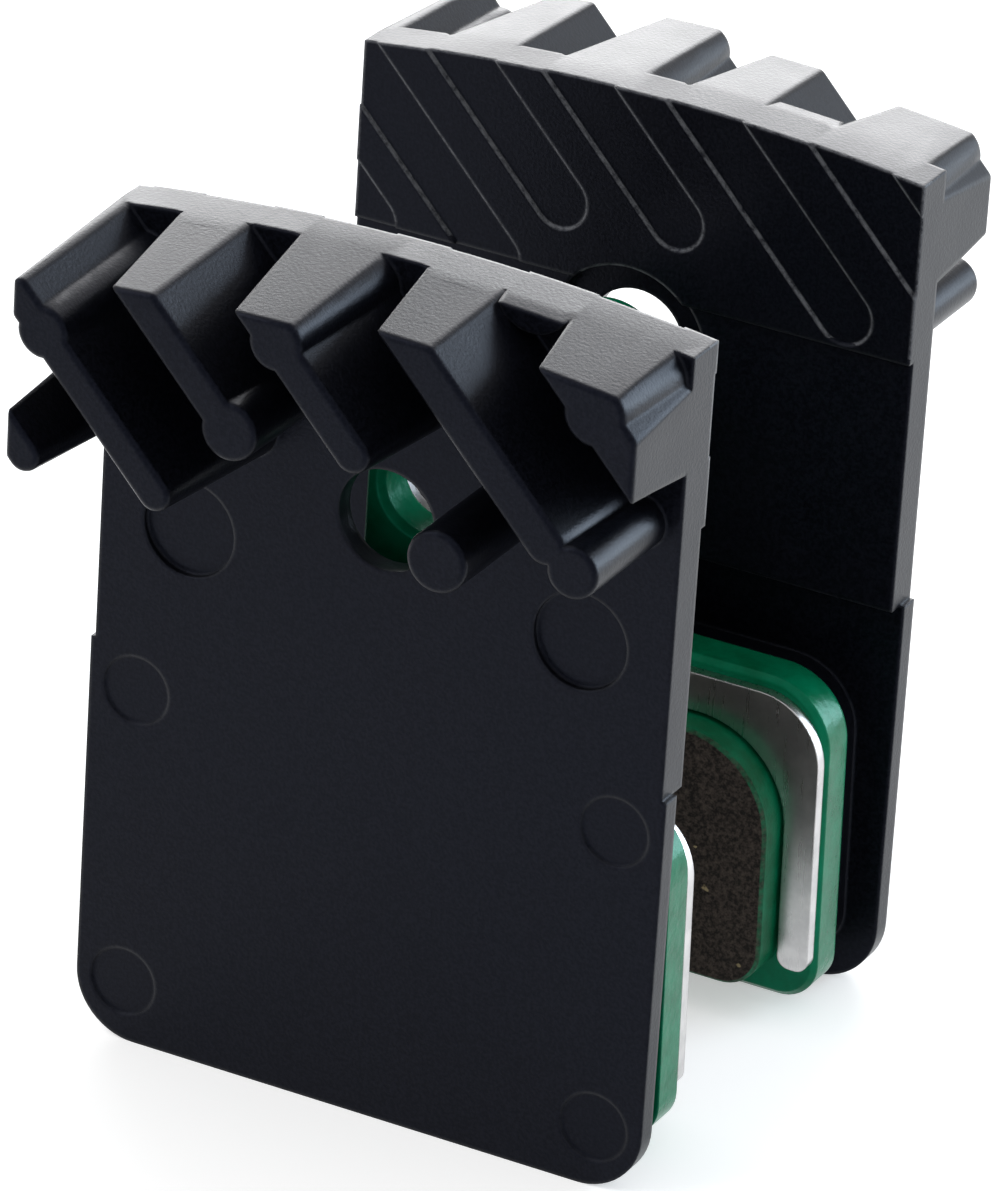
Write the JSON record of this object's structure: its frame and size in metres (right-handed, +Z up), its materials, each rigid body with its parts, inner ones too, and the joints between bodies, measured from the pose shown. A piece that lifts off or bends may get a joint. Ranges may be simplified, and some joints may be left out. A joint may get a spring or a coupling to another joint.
{
  "type": "finned disc brake pad set",
  "caption": "Pair of bicycle disc brake pads with slanted cooling fins on black cast plates, green backing plates, friction blocks and a leaf spring between them",
  "frame": {"origin": "on the standing surface below the middle of the set, midway between the two pads", "axes": "+Z up from the lower edges to the fins, +X to the right along the pads seen from the front pad, +Y from the front pad to the rear pad"},
  "size_m": [0.0264, 0.0386, 0.0384],
  "materials": {
    "black_casting": "satin black coating on a die-cast plate, fine grain",
    "green_backing": "semi-gloss green paint on a steel plate",
    "friction": "gritty pressed friction compound with fine metal specks",
    "spring_steel": "bare rolled stainless spring sheet"
  },
  "bodies": {
    "root": {"front_fin_plate": "black_casting", "front_backing_plate": "green_backing", "front_friction_pad": "friction", "rear_fin_plate": "black_casting", "rear_backing_plate": "green_backing", "rear_friction_pad": "friction", "pad_spring": "spring_steel"}
  },
  "joints": []
}
